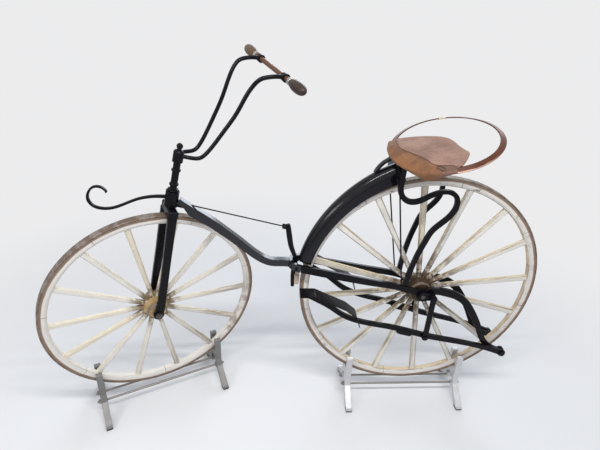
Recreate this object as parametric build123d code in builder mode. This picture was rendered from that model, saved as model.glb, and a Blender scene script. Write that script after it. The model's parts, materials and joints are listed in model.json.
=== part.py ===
from build123d import *
import os
from math import acos, atan2, cos, degrees, hypot, radians, sin, sqrt

# Wheels and stance, all in millimetres above the floor
REAR_DIA = 1016.0
FRONT_DIA = 864.0
REAR_LIFT = 95.0
FRONT_LIFT = 78.0
WHEELBASE = 1111.0
TYRE_THICK = 6.0
TYRE_HALF = 16.0
RIM_DEPTH = 30.0
RIM_HALF = 15.0
REAR_SPOKES = 16
FRONT_SPOKES = 14
REAR_HUB_R, REAR_HUB_HALF = 56.0, 44.0
FRONT_HUB_R, FRONT_HUB_HALF = 48.0, 50.0
AXLE_R = 9.0
FRONT_AXLE_R = 7.0
RUN = 0.06
REAR_R = REAR_DIA / 2
FRONT_R = FRONT_DIA / 2
REAR_Z = REAR_LIFT + REAR_R
FRONT_Z = FRONT_LIFT + FRONT_R
REAR_TOP = REAR_Z + REAR_R

# Steering head, raked back, and the angle the front wheel is turned to
RAKE = 12.35
STEER = 24.8
CROWN_GAP = 8.0
CROWN_DEEP = 28.0
HEAD_PLAY = 1.0
SOCKET_LONG = 61.0
SOCKET_R = 25.0
COLUMN_R = 13.0
COLLAR_R = 17.0
JOURNAL_R = 15.0
CROWN_LOW = FRONT_R + CROWN_GAP
CROWN_TOP = CROWN_LOW + CROWN_DEEP
SOCKET_LOW = CROWN_TOP + HEAD_PLAY
SOCKET_TOP = SOCKET_LOW + SOCKET_LONG

# Front fork blades: distance from the middle at the axle, and how far they close in at the crown
FRONT_BLADE_Y = 63.0
BLADE_SPREAD = 13.0
FRONT_BLADE_THICK = 15.0

# Layers across the bicycle, distances from the frame's middle plane
FORK_GAP, BLADE_THICK = 5.0, 12.0
CRANK_GAP, CRANK_THICK = 5.0, 12.0
LINK_GAP, LINK_THICK = 6.0, 8.0
BLADE_IN = REAR_HUB_HALF + FORK_GAP
BLADE_OUT = BLADE_IN + BLADE_THICK
CRANK_IN = BLADE_OUT + CRANK_GAP
CRANK_OUT = CRANK_IN + CRANK_THICK
LINK_IN = CRANK_OUT + LINK_GAP
LINK_OUT = LINK_IN + LINK_THICK
PLATE_OUT = 128.0

# Treadle gear: pivot behind and below the axle, crank throw and link length
PIVOT_BACK, PIVOT_DROP = 420.0, 308.0
PIVOT = (-PIVOT_BACK, REAR_Z - PIVOT_DROP)
CRANK_THROW = 42.0
LINK_LENGTH = 204.0
PIN_REACH = 392.04
LINK_PIN_R = 6.0
PIVOT_R = 7.0

# Yoke around the rear wheel, its distance past the tyre and its angle above the axle
YOKE_GAP = 16.8
YOKE_ANGLE = 12.66
YOKE_IN, YOKE_OUT = 36.0, 50.0
YOKE_X = (REAR_R + YOKE_GAP) * cos(radians(YOKE_ANGLE))
YOKE_Z = REAR_Z + (REAR_R + YOKE_GAP) * sin(radians(YOKE_ANGLE))
FORK_SLOPE = radians(11.3)
BACKBONE_THICK = 26.0

# Mudguard: its centre from the axle, radius past the tyre, half width, sheet and angles
GUARD_BACK, GUARD_UP = 71.0, 1.4
GUARD_PAST = 99.0
GUARD_HALF = 32.0
GUARD_SHEET = 2.5
GUARD_SKIRT = 72.0
GUARD_FROM, GUARD_TO = 13.0, 67.0
GUARD_AT = (-GUARD_BACK, 0.0, REAR_Z + GUARD_UP)
GUARD_R = REAR_R + GUARD_PAST
GUARD_SHOULDER = GUARD_R - GUARD_HALF
GUARD_CLEAR = 12.8

# Saddle ring: centre above the tyre, half length and width, band section, pitch and lean
RING_FORWARD, RING_RISE = 5.0, 129.0
RING_AT = (RING_FORWARD, 0.0, REAR_TOP + RING_RISE)
RING_A, RING_B = 195.0, 179.0
RING_WIDE, RING_THICK, RING_SLOPE = 22.0, 4.5, 30.0
RING_PITCH, RING_ROLL = 15.2, 12.7
RING_REACH = RING_WIDE / 2 * cos(radians(RING_SLOPE))

# Saddle springs: foot above the axle, distance from the middle and outward lean
SPRING_BASE = 37.0
SPRING_FOOT = 50.0
SPRING_LEAN = radians(4.18)
SPRING_THICK = 12.0
SPRING_DRAWN = 471.0

# Leather seat: height over the ring, thickness and lap past the ring's band
SEAT_OVER = 8.0
SEAT_THICK = 5.0
SEAT_LAP = 6.0

# Handlebar: bar centre seen from the top of the head, its dip and skew
BAR_BACK, BAR_UP = 283.2, 497.1
BAR_DIP, BAR_SKEW = 3.23, 1.49
BAR_R = 9.0
ARM_R = 7.5
EYE_Y = 111.0
GRIP_FROM = 160.0
GRIP_LONG = 100.0

# Floor stands
STAND_HALF = 260.0
STAND_THICK = 26.0
SLOT_PLAY = 6.0
SLOT_HALF = TYRE_HALF + SLOT_PLAY
HORN = 70.0
STAND_WIDE = 140.0
FOOT = 8.0
FOOT_WIDE = 32.0
ROD_V, ROD_H, ROD_R = 26.0, 65.0, 5.0

REAR_AXIS = Axis((0, 0, REAR_Z), (0, 1, 0))
FRONT_AXIS = Axis((WHEELBASE, 0, FRONT_Z), (0, 1, 0))
RAKE_RAD = radians(RAKE)
HEAD_UP = (-sin(RAKE_RAD), 0, cos(RAKE_RAD))
HEAD_FWD = (cos(RAKE_RAD), 0, sin(RAKE_RAD))
STEERING_AXIS = Axis((WHEELBASE, 0, FRONT_Z), HEAD_UP)

os.makedirs("parts", exist_ok=True)


def side(y=0.0):
    """Upright plane along the bicycle, at a distance from its middle"""
    return Plane(origin=(0, y, 0), x_dir=(1, 0, 0), z_dir=(0, -1, 0))


def head_side(y=0.0):
    """Side plane whose upward direction is the steering axis, from the front axle"""
    return Plane(origin=(WHEELBASE, y, FRONT_Z), x_dir=HEAD_FWD, z_dir=(0, -1, 0))


def head_cut(s):
    """Plane square to the steering axis, a distance up it from the front axle"""
    origin = (WHEELBASE - s * sin(RAKE_RAD), 0, FRONT_Z + s * cos(RAKE_RAD))
    return Plane(origin=origin, x_dir=HEAD_FWD, z_dir=HEAD_UP)


def head_point(forward, y, up):
    """Point seen from the top of the head socket, along and square to the steering axis"""
    rise = SOCKET_TOP + up
    x = WHEELBASE + forward * HEAD_FWD[0] + rise * HEAD_UP[0]
    z = FRONT_Z + forward * HEAD_FWD[2] + rise * HEAD_UP[2]
    return (x, y, z)


def offsets(points, widths):
    """Left and right edges of a band along the points"""
    left, right = [], []
    for i, (x, z) in enumerate(points):
        a = points[max(i - 1, 0)]
        b = points[min(i + 1, len(points) - 1)]
        run = hypot(b[0] - a[0], b[1] - a[1])
        nx = -(b[1] - a[1]) / run
        nz = (b[0] - a[0]) / run
        half = widths[i] / 2
        left.append((x + nx * half, z + nz * half))
        right.append((x - nx * half, z - nz * half))
    return left, right


def band(points, widths, plane, thickness):
    """Flat bar with smooth edges along the points"""
    left, right = offsets(points, widths)
    with BuildPart() as piece:
        with BuildSketch(plane):
            with BuildLine():
                Spline(*left)
                Line(left[-1], right[-1])
                Spline(*right[::-1])
                Line(right[0], left[0])
            make_face()
        extrude(amount=thickness / 2, both=True)
    return piece.part


def rod(points, radius):
    """Round bar along a smooth path"""
    with BuildPart() as piece:
        with BuildLine() as path:
            if len(points) == 2:
                Line(*points)
            else:
                Spline(*points)
        with BuildSketch(Plane(origin=path.line @ 0, z_dir=path.line % 0)):
            Circle(radius)
        sweep(path=path.line)
    return piece.part


def turned(axis, profile):
    """Ring or barrel from a profile of radius and distance along the axle"""
    with BuildPart() as piece:
        with BuildSketch(Plane(origin=axis.position, x_dir=(1, 0, 0), z_dir=(0, 0, 1))):
            with BuildLine():
                Polyline(*profile, close=True)
            make_face()
        revolve(axis=axis)
    return piece.part


def cylinder(x, z, y_from, y_to, radius):
    """Plain shaft across the bicycle"""
    with BuildPart() as piece:
        with BuildSketch(Plane(origin=(x, y_from, z), x_dir=(1, 0, 0), z_dir=(0, 1, 0))):
            Circle(radius)
        extrude(amount=y_to - y_from)
    return piece.part


def save(piece, name, steered=False):
    """Label one finished piece and write it, turned with the steering if it belongs there"""
    if steered:
        piece = piece.rotate(STEERING_AXIS, STEER)
    piece.label = name
    export_step(piece, f"parts/{name}.step")


# Wooden wheel: iron tyre, rim, tapered spokes, turned hub and its iron bands
def spoke_set(axis, count, first, sections):
    """Tapered spokes with clipped corners; each section has radius, width across and around"""
    x, _, z = axis.position
    with BuildPart() as one:
        for r, across, around in sections:
            direction = (cos(radians(first)), 0, sin(radians(first)))
            origin = (x + r * direction[0], 0, z + r * direction[2])
            with BuildSketch(Plane(origin=origin, x_dir=(0, 1, 0), z_dir=direction)) as section:
                Rectangle(across, around)
                chamfer(section.vertices(), 0.27 * min(across, around))
        loft(ruled=True)
    with BuildPart() as spokes:
        for i in range(count):
            add(one.part.rotate(axis, 360 / count * i))
    return spokes.part


WHEELS = (
    # name, axis, outer radius, spokes, first spoke, hub radius, hub half length, bore
    ("rear", REAR_AXIS, REAR_R, REAR_SPOKES, -51.39, REAR_HUB_R, REAR_HUB_HALF, AXLE_R),
    ("front", FRONT_AXIS, FRONT_R, FRONT_SPOKES, -73.58, FRONT_HUB_R, FRONT_HUB_HALF,
     FRONT_AXLE_R + RUN),
)
for name, axis, outer, count, first, hub_r, hub_half, bore in WHEELS:
    steered = name == "front"
    rim_out = outer - TYRE_THICK
    rim_in = rim_out - RIM_DEPTH
    end_r = hub_r - 14
    collar = hub_half - 14

    tyre_profile = [(rim_out, -TYRE_HALF), (outer - 1.5, -TYRE_HALF), (outer, -TYRE_HALF + 2)]
    tyre_profile += [(outer, TYRE_HALF - 2), (outer - 1.5, TYRE_HALF), (rim_out, TYRE_HALF)]
    tyre = turned(axis, tyre_profile)
    save(tyre, f"{name}_tyre", steered)

    around = 27.0 if name == "rear" else 24.0
    spokes = spoke_set(axis, count, first, (
        (hub_r - 12, 18, 12.5), (hub_r + 10, 22, 18), (rim_in + 12, 17, around)))
    save(spokes, f"{name}_spokes", steered)

    rim_blank = turned(axis, [
        (rim_out, -RIM_HALF), (rim_out, RIM_HALF), (rim_in + 10, RIM_HALF),
        (rim_in + 3, RIM_HALF - 3), (rim_in, RIM_HALF - 6), (rim_in, -RIM_HALF + 6),
        (rim_in + 3, -RIM_HALF + 3), (rim_in + 10, -RIM_HALF),
    ])
    with BuildPart() as rim:
        add(rim_blank)
        add(spokes, mode=Mode.SUBTRACT)
    save(rim.part, f"{name}_rim", steered)

    hub_blank = turned(axis, [
        (bore, -hub_half), (end_r, -hub_half), (end_r, -collar), (hub_r - 5, -collar + 4),
        (hub_r, -13), (hub_r, 13), (hub_r - 5, collar - 4), (end_r, collar),
        (end_r, hub_half), (bore, hub_half),
    ])
    with BuildPart() as hub:
        add(hub_blank)
        add(spokes, mode=Mode.SUBTRACT)
    save(hub.part, f"{name}_hub", steered)

    with BuildPart() as bands:
        for s in (-1, 1):
            add(turned(axis, [
                (end_r, s * collar), (end_r + 3.5, s * collar), (end_r + 3.5, s * (hub_half - 1)),
                (end_r + 2, s * hub_half), (end_r, s * hub_half),
            ]))
    save(bands.part, f"{name}_hub_bands", steered)

# Rear axle and the two crank arms, one pointing back and the other forward
rear_axle = cylinder(0, REAR_Z, -CRANK_OUT, CRANK_OUT, AXLE_R)
save(rear_axle, "rear_axle")


def crank(side_sign, pin_x):
    """Crank arm with round ends, keyed on the axle"""
    y0 = CRANK_IN if side_sign > 0 else -CRANK_OUT
    with BuildPart() as arm:
        with BuildSketch(side(y0 + CRANK_THICK)):
            with Locations((0, REAR_Z)):
                Circle(19)
            with Locations((pin_x, REAR_Z)):
                Circle(14)
            make_hull()
        extrude(amount=CRANK_THICK)
        add(rear_axle, mode=Mode.SUBTRACT)
    return arm.part


save(crank(1, -CRANK_THROW), "crank_left")
save(crank(-1, CRANK_THROW), "crank_right")


# Treadle gear geometry: the lever's angle that lets the link reach the crank pin
def lever_angle(crank_x):
    """Angle of the line from the pivot to the link pin, in degrees"""
    dx, dz = crank_x - PIVOT[0], REAR_Z - PIVOT[1]
    reach = hypot(dx, dz)
    inner = (reach ** 2 + PIN_REACH ** 2 - LINK_LENGTH ** 2) / (2 * reach * PIN_REACH)
    return degrees(atan2(dz, dx)) - degrees(acos(inner))


LEFT_ANGLE = lever_angle(-CRANK_THROW)
RIGHT_ANGLE = lever_angle(CRANK_THROW)
LEFT_PIN = (PIVOT[0] + PIN_REACH * cos(radians(LEFT_ANGLE)),
            PIVOT[1] + PIN_REACH * sin(radians(LEFT_ANGLE)))
RIGHT_PIN = (PIVOT[0] + PIN_REACH * cos(radians(RIGHT_ANGLE)),
             PIVOT[1] + PIN_REACH * sin(radians(RIGHT_ANGLE)))
PIVOT_AXIS = Axis((PIVOT[0], 0, PIVOT[1]), (0, -1, 0))



def lever_side(y):
    """Side plane along the left lever, from its pivot toward the link pin"""
    along = (cos(radians(LEFT_ANGLE)), 0, sin(radians(LEFT_ANGLE)))
    return Plane(origin=(PIVOT[0], y, PIVOT[1]), x_dir=along, z_dir=(0, -1, 0))


lever_line = [(0, 0), (PIN_REACH - 181.5, 7.4), (PIN_REACH, 0), (PIN_REACH + 160.7, 3.5),
              (PIN_REACH + 323.2, -1.8), (PIN_REACH + 393.3, 12.1), (PIN_REACH + 449.4, 35),
              (PIN_REACH + 514.9, 54.4), (PIN_REACH + 591.1, 74.9)]
lever_widths = [26, 22, 24, 22, 21, 21, 20, 19, 18]
lever_mid = (CRANK_IN + CRANK_OUT) / 2
lever_blank = band(lever_line, lever_widths, lever_side(lever_mid), CRANK_THICK)
pivot_eye = cylinder(PIVOT[0], PIVOT[1], CRANK_IN, CRANK_OUT, 17)
link_boss = cylinder(LEFT_PIN[0], LEFT_PIN[1], CRANK_IN, CRANK_OUT, 16)
link_pin = cylinder(LEFT_PIN[0], LEFT_PIN[1], CRANK_OUT, LINK_OUT + 4, LINK_PIN_R)
link_pin_head = cylinder(LEFT_PIN[0], LEFT_PIN[1], LINK_OUT + 1, LINK_OUT + 6, 10)
pivot_hole = cylinder(PIVOT[0], PIVOT[1], CRANK_IN - 5, CRANK_OUT + 5, PIVOT_R + RUN)

with BuildPart() as lever:
    add(lever_blank)
    add(pivot_eye)
    add(link_boss)
    with BuildSketch(lever_side(lever_mid)):
        with BuildLine():
            Polyline((PIN_REACH + 63.7, 5.3), (PIN_REACH + 136.3, 5), (PIN_REACH + 129, -13.7),
                     (PIN_REACH + 115.3, -18.2), (PIN_REACH + 65.6, -18), (PIN_REACH + 57.3, -10.6),
                     close=True)
        make_face()
    extrude(amount=CRANK_THICK / 2 + 3, both=True)
    add(link_pin)
    add(link_pin_head)
    add(pivot_hole, mode=Mode.SUBTRACT)

# Foot plate of the treadle, bent up from the lever and flat at its tip
with BuildPart() as foot_plate:
    with BuildSketch(lever_side(PLATE_OUT)):
        with BuildLine() as path:
            FilletPolyline((PIN_REACH + 316.8, 5.2), (PIN_REACH + 345.9, 46.9), (PIN_REACH + 400.3, 71.4),
                           (PIN_REACH + 542.6, 98.6), (PIN_REACH + 600.5, 82.7), radius=14)
        trace(line_width=4)
    extrude(amount=PLATE_OUT - CRANK_IN)
    add(lever.part, mode=Mode.SUBTRACT)

left_lever = lever.part
left_plate = foot_plate.part
right_turn = RIGHT_ANGLE - LEFT_ANGLE
right_lever = left_lever.mirror(Plane.XZ).rotate(PIVOT_AXIS, right_turn)
right_plate = left_plate.mirror(Plane.XZ).rotate(PIVOT_AXIS, right_turn)
save(left_lever, "lever_left")
save(left_plate, "foot_plate_left")
save(right_lever, "lever_right")
save(right_plate, "foot_plate_right")


def link(pin, crank_x, sign):
    """Flat link from the lever's pin up to the crank, with a short stub at the crank"""
    near, far = sorted((sign * LINK_IN, sign * LINK_OUT))
    dx, dz = crank_x - pin[0], REAR_Z - pin[1]
    nx, nz = -dz / LINK_LENGTH * 11, dx / LINK_LENGTH * 11
    with BuildPart() as piece:
        with BuildSketch(side(far)):
            with Locations(pin, (crank_x, REAR_Z)):
                Circle(15)
            with BuildLine():
                Polyline((pin[0] + nx, pin[1] + nz), (crank_x + nx, REAR_Z + nz),
                         (crank_x - nx, REAR_Z - nz), (pin[0] - nx, pin[1] - nz), close=True)
            make_face()
        extrude(amount=far - near)
        stub_from, stub_to = sorted((sign * (CRANK_OUT + 0.4), sign * LINK_IN))
    stub = cylinder(crank_x, REAR_Z, stub_from, stub_to, 8)
    nut = cylinder(crank_x, REAR_Z, *sorted((sign * LINK_OUT, sign * (LINK_OUT + 6))), 10)
    hole = cylinder(pin[0], pin[1], near - 5, far + 5, LINK_PIN_R + RUN)
    with BuildPart() as whole:
        add(piece.part)
        add(stub)
        add(nut)
        add(hole, mode=Mode.SUBTRACT)
    return whole.part


save(link(LEFT_PIN, -CRANK_THROW, 1), "link_left")
save(link(RIGHT_PIN, CRANK_THROW, -1), "link_right")

# Steering column, turned from one bar, with its collars and ball end
with BuildPart() as column:
    with BuildSketch(head_side()):
        with BuildLine():
            Polyline(
                (0, CROWN_TOP - 12), (JOURNAL_R, CROWN_TOP - 12), (JOURNAL_R, SOCKET_TOP + 1),
                (JOURNAL_R + 5, SOCKET_TOP + 1), (JOURNAL_R + 5, SOCKET_TOP + 8),
                (COLUMN_R, SOCKET_TOP + 12), (COLUMN_R, SOCKET_TOP + 22), (COLLAR_R, SOCKET_TOP + 25),
                (COLLAR_R, SOCKET_TOP + 30), (COLUMN_R, SOCKET_TOP + 33), (COLUMN_R, SOCKET_TOP + 78),
                (COLLAR_R, SOCKET_TOP + 81), (COLLAR_R, SOCKET_TOP + 86), (COLUMN_R, SOCKET_TOP + 89),
                (COLUMN_R, SOCKET_TOP + 112), (COLUMN_R + 6, SOCKET_TOP + 116),
                (COLUMN_R + 6, SOCKET_TOP + 154), (COLUMN_R + 1, SOCKET_TOP + 160),
                (9, SOCKET_TOP + 162), (6, SOCKET_TOP + 164), (9.5, SOCKET_TOP + 167.5),
                (12, SOCKET_TOP + 174.5), (9.5, SOCKET_TOP + 181.5), (5, SOCKET_TOP + 185),
                (0, SOCKET_TOP + 186.5), close=True)
        make_face()
    revolve(axis=Axis((WHEELBASE, 0, FRONT_Z), HEAD_UP))
save(column.part, "steering_column", True)

# Fork crown over the wheel and the two flat blades
with BuildPart() as crown:
    with BuildSketch(head_cut(CROWN_LOW)) as base:
        Rectangle(36, 2 * (FRONT_BLADE_Y - BLADE_SPREAD + 8))
        fillet(base.vertices(), 6)
    extrude(amount=CROWN_DEEP)
    chamfer(crown.faces().sort_by(Axis(STEERING_AXIS.position, HEAD_UP))[-1].edges(), 5)
    add(column.part, mode=Mode.SUBTRACT)
save(crown.part, "fork_crown", True)

BLADE_TILT = atan2(BLADE_SPREAD, CROWN_LOW)
blade_plane = Plane(
    origin=(WHEELBASE, FRONT_BLADE_Y, FRONT_Z), x_dir=HEAD_FWD,
    z_dir=(-sin(RAKE_RAD) * -sin(BLADE_TILT), -cos(BLADE_TILT), -sin(BLADE_TILT) * cos(RAKE_RAD)))
blade_length = hypot(BLADE_SPREAD, CROWN_LOW)
AXLE_END = FRONT_BLADE_Y + FRONT_BLADE_THICK + 8
front_shaft = cylinder(WHEELBASE, FRONT_Z, -AXLE_END, AXLE_END, FRONT_AXLE_R)
with BuildPart() as blade_blank:
    with BuildSketch(blade_plane):
        with BuildLine():
            Polyline((-14, blade_length + 4), (20, blade_length + 4), (14, 250), (10, 60),
                     (15, 8), (13, -10), (-12, -14), (-20, 5), (-20, 60), (-16, 250), close=True)
        make_face()
        with Locations((-1, -4)):
            Circle(20)
    extrude(amount=FRONT_BLADE_THICK / 2, both=True)
with BuildPart() as blade:
    add(blade_blank.part)
    add(crown.part, mode=Mode.SUBTRACT)
    add(front_shaft, mode=Mode.SUBTRACT)
with BuildPart() as crown_clear:
    with BuildSketch(head_cut(CROWN_LOW)):
        Rectangle(200, 200)
    extrude(amount=60)
with BuildPart() as blade_left:
    add(blade.part)
    add(crown_clear.part, mode=Mode.SUBTRACT)
save(blade_left.part, "fork_blade_left", True)
save(blade_left.part.mirror(Plane.XZ), "fork_blade_right", True)

# Front axle with a hexagon nut outside each blade
with BuildPart() as front_axle:
    add(front_shaft)
    for y0 in (AXLE_END - 14, 2 - AXLE_END):
        with BuildSketch(Plane(origin=(WHEELBASE, y0, FRONT_Z), x_dir=(1, 0, 0), z_dir=(0, 1, 0))):
            RegularPolygon(14, 6)
        extrude(amount=12)
    add(blade_left.part, mode=Mode.SUBTRACT)
    add(blade_left.part.mirror(Plane.XZ), mode=Mode.SUBTRACT)
save(front_axle.part, "front_axle", True)

# Swept-back handlebar arms, the cross bar and its egg-shaped grips; the near end sits lower
ARM_LINE = [
    # forward and up from the top of the head, and distance from the middle
    (-4, 11, 143), (-44, 28, 145.6), (-66.9, 34, 151), (-86.7, 41, 175.1), (-101, 48, 205.8),
    (-127, 63, 273.7), (-151.4, 79, 344.9), (-170.8, 94, 424.3), (-182.3, 101, 454), (-198.5, 106, 475.9),
    (-221.6, 109, 487.1), (-249.7, 110, 494.3), (-BAR_BACK, EYE_Y, BAR_UP),
]
BAR_AT = head_point(-BAR_BACK, 0, BAR_UP)


def dipped(piece):
    """Turn a piece of the level bar into its dipped and skewed place"""
    piece = piece.rotate(Axis(BAR_AT, (1, 0, 0)), -BAR_DIP)
    return piece.rotate(Axis(BAR_AT, (0, 0, 1)), -BAR_SKEW)


def bar_span(y_from, y_to, radius):
    """Round length of the cross bar in its place"""
    return dipped(cylinder(BAR_AT[0], BAR_AT[2], y_from, y_to, radius))


cross_bar = bar_span(-GRIP_FROM - 12, GRIP_FROM + 12, BAR_R)
save(cross_bar, "handlebar", True)
dip = radians(BAR_DIP)
skew = radians(BAR_SKEW)
for name, sign in (("left", 1), ("right", -1)):
    arm_path = []
    for forward, y, up in ARM_LINE:
        x, _, z = head_point(forward, y, up)
        arm_path.append((x + sign * y * sin(skew), sign * y, z - sign * y * sin(dip)))
    with BuildPart() as arm:
        add(rod(arm_path, ARM_R))
        add(bar_span(*sorted((sign * (EYE_Y - 10), sign * (EYE_Y + 10))), BAR_R + 6))
        add(cross_bar, mode=Mode.SUBTRACT)
        add(column.part, mode=Mode.SUBTRACT)
    save(arm.part, f"handlebar_arm_{name}", True)

with BuildPart() as grip:
    with BuildSketch(Plane(origin=BAR_AT, x_dir=(1, 0, 0), z_dir=(0, 0, 1))):
        with BuildLine():
            Spline((11, GRIP_FROM), (17, GRIP_FROM + 18), (20, GRIP_FROM + 45), (18.5, GRIP_FROM + 72),
                   (10, GRIP_FROM + 94), (0.01, GRIP_FROM + GRIP_LONG))
            Polyline((0.01, GRIP_FROM + GRIP_LONG), (0.01, GRIP_FROM), (11, GRIP_FROM))
        make_face()
    revolve(axis=Axis(BAR_AT, (0, 1, 0)))
for name, blank in (("left", grip.part), ("right", grip.part.mirror(Plane.XZ))):
    with BuildPart() as fitted:
        add(dipped(blank))
        add(cross_bar, mode=Mode.SUBTRACT)
    save(fitted.part, f"grip_{name}", True)

# Head socket, backbone and the yoke that straddles the rear wheel
with BuildPart() as socket:
    with BuildSketch(head_cut(SOCKET_LOW)):
        Circle(SOCKET_R)
        Circle(JOURNAL_R + RUN, mode=Mode.SUBTRACT)
    extrude(amount=SOCKET_LONG)
save(socket.part, "head_socket")

# Backbone: shares of the way from yoke to head, distance off that line, and depth
BACKBONE_LINE = [
    (0.9381, -26.8, 34), (0.8799, -31, 36), (0.7934, -32.9, 38), (0.6783, -34.5, 35), (0.5726, -40.8, 33),
    (0.4453, -49.7, 31), (0.3531, -58.6, 30), (0.2594, -63.3, 30), (0.1811, -55.9, 30),
    (0.1207, -36, 30), (0.0661, -18.4, 30),
]
head_x, _, head_z = head_point(0, 0, 0)
span = hypot(head_x - YOKE_X, head_z - YOKE_Z)
away_x, away_z = (head_x - YOKE_X) / span, (head_z - YOKE_Z) / span
backbone_line = []
for share, off, _ in BACKBONE_LINE:
    x = YOKE_X + share * span * away_x - off * away_z
    z = YOKE_Z + share * span * away_z + off * away_x
    backbone_line.append((x, z))
backbone_blank = band(backbone_line, [depth for _, _, depth in BACKBONE_LINE], side(), BACKBONE_THICK)
yoke_plane = Plane(origin=(YOKE_X, 0, YOKE_Z), x_dir=(cos(FORK_SLOPE), 0, sin(FORK_SLOPE)),
                   z_dir=(-sin(FORK_SLOPE), 0, cos(FORK_SLOPE)))
with BuildPart() as yoke_blank:
    with BuildSketch(yoke_plane):
        Circle(YOKE_OUT)
        Circle(YOKE_IN, mode=Mode.SUBTRACT)
        with Locations((-YOKE_OUT, 0)):
            Rectangle(2 * YOKE_OUT, 2 * YOKE_OUT + 20, mode=Mode.SUBTRACT)
    extrude(amount=15, both=True)
with BuildPart() as head_clear:
    with BuildSketch(head_cut(SOCKET_LOW - 40)):
        Circle(SOCKET_R)
    extrude(amount=SOCKET_LONG + 80)
with BuildPart() as yoke_hollow:
    with BuildSketch(yoke_plane):
        Circle(YOKE_IN)
    extrude(amount=40, both=True)
CROWN_SWEEP = 50.0
with BuildPart() as crown_room:
    with BuildSketch(head_side()):
        with BuildLine():
            Polyline((CROWN_SWEEP, CROWN_TOP + 6), (-CROWN_SWEEP, CROWN_TOP + 6),
                     (-CROWN_SWEEP - 28, CROWN_LOW + 2), (-CROWN_SWEEP - 28, CROWN_LOW - 60),
                     (CROWN_SWEEP, CROWN_LOW - 60), close=True)
        make_face()
    extrude(amount=BACKBONE_THICK, both=True)
with BuildPart() as backbone:
    add(backbone_blank)
    add(yoke_hollow.part, mode=Mode.SUBTRACT)
    add(yoke_blank.part)
    add(head_clear.part, mode=Mode.SUBTRACT)
    add(crown_room.part, mode=Mode.SUBTRACT)
save(backbone.part, "backbone")

# Rear fork blades, flaring to the hub
fork_line = [(YOKE_X, YOKE_Z), (YOKE_X - 92, YOKE_Z - 18), (YOKE_X - 182, YOKE_Z - 36), (210, REAR_Z + 56),
             (94, REAR_Z + 34), (30, REAR_Z + 16), (-16, REAR_Z + 10)]
fork_side = band(fork_line, [30, 32, 31, 28, 25, 26, 28], side(BLADE_OUT), 2 * BLADE_OUT)
fork_eye = cylinder(0, REAR_Z, 0, 2 * BLADE_OUT, 24)
axle_hole = cylinder(0, REAR_Z, -2 * BLADE_OUT, 2 * BLADE_OUT, AXLE_R + RUN)
with BuildPart() as fork_plan:
    with BuildSketch(Plane.XY.offset(REAR_Z - 50)):
        with BuildLine():
            Polyline((YOKE_X, YOKE_IN + 1), (YOKE_X, YOKE_OUT - 1), (YOKE_X - 182, BLADE_OUT - 6),
                     (94, BLADE_OUT - 1), (20, BLADE_OUT), (-30, BLADE_OUT), (-30, BLADE_IN),
                     (20, BLADE_IN), (94, BLADE_IN - 1), (YOKE_X - 182, BLADE_IN - 6), close=True)
        make_face()
    extrude(amount=YOKE_Z - REAR_Z + 110)
with BuildPart() as rear_fork:
    add(fork_side)
    add(fork_eye)
    add(fork_plan.part, mode=Mode.INTERSECT)
    add(axle_hole, mode=Mode.SUBTRACT)
    add(yoke_blank.part, mode=Mode.SUBTRACT)
save(rear_fork.part, "rear_fork_left")
save(rear_fork.part.mirror(Plane.XZ), "rear_fork_right")

# Curved brackets behind the axle that carry the treadle pivots
bracket_line = [(-12, REAR_Z + 11), (-33, REAR_Z + 17), (-77, REAR_Z + 17), (-121, REAR_Z + 7),
                (-170, REAR_Z - 16), (-201, REAR_Z - 42), (-231, REAR_Z - 80), (-254, REAR_Z - 115),
                (-277, REAR_Z - 154), (-298, REAR_Z - 197), (-322, REAR_Z - 242),
                (PIVOT[0] + 66, PIVOT[1] + 30), (PIVOT[0] + 30, PIVOT[1] + 8), (PIVOT[0], PIVOT[1] - 2)]
bracket_widths = [28, 31, 33, 33, 32, 30, 29, 28, 27, 26, 26, 26, 25, 25]
bracket_blank = band(bracket_line, bracket_widths, side((BLADE_IN + BLADE_OUT) / 2), BLADE_THICK)
bracket_eye = cylinder(PIVOT[0], PIVOT[1], BLADE_IN, BLADE_OUT, 18)
pivot_pin = cylinder(PIVOT[0], PIVOT[1], BLADE_OUT, CRANK_OUT + 2, PIVOT_R)
pivot_head = cylinder(PIVOT[0], PIVOT[1], CRANK_OUT + 1, CRANK_OUT + 7, 12)
with BuildPart() as bracket_left:
    add(bracket_blank)
    add(bracket_eye)
    add(pivot_pin)
    add(pivot_head)
    add(rear_fork.part, mode=Mode.SUBTRACT)
    add(axle_hole, mode=Mode.SUBTRACT)
save(bracket_left.part, "lever_bracket_left")
save(bracket_left.part.mirror(Plane.XZ), "lever_bracket_right")

# Mudguard: a gutter around a centre a little behind the axle
def gutter(low, sheet=0.0):
    """Outline of the mudguard's section from a radius out to its crown, inside the sheet"""
    half = GUARD_HALF - sheet
    crown = GUARD_R - sheet
    Line((low, -half), (GUARD_SHOULDER, -half))
    ThreePointArc((GUARD_SHOULDER, -half), (crown, 0), (GUARD_SHOULDER, half))
    Polyline((GUARD_SHOULDER, half), (low, half), (low, -half))


def guard_sweep(low, arc, sheet=0.0):
    """Solid mudguard form, turned up from level ahead of its centre"""
    with BuildPart() as form:
        with BuildSketch(Plane(origin=GUARD_AT, x_dir=(1, 0, 0), z_dir=(0, 0, 1))):
            with BuildLine():
                gutter(low, sheet)
            make_face()
        revolve(axis=Axis(GUARD_AT, (0, -1, 0)), revolution_arc=arc)
    return form.part


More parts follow.
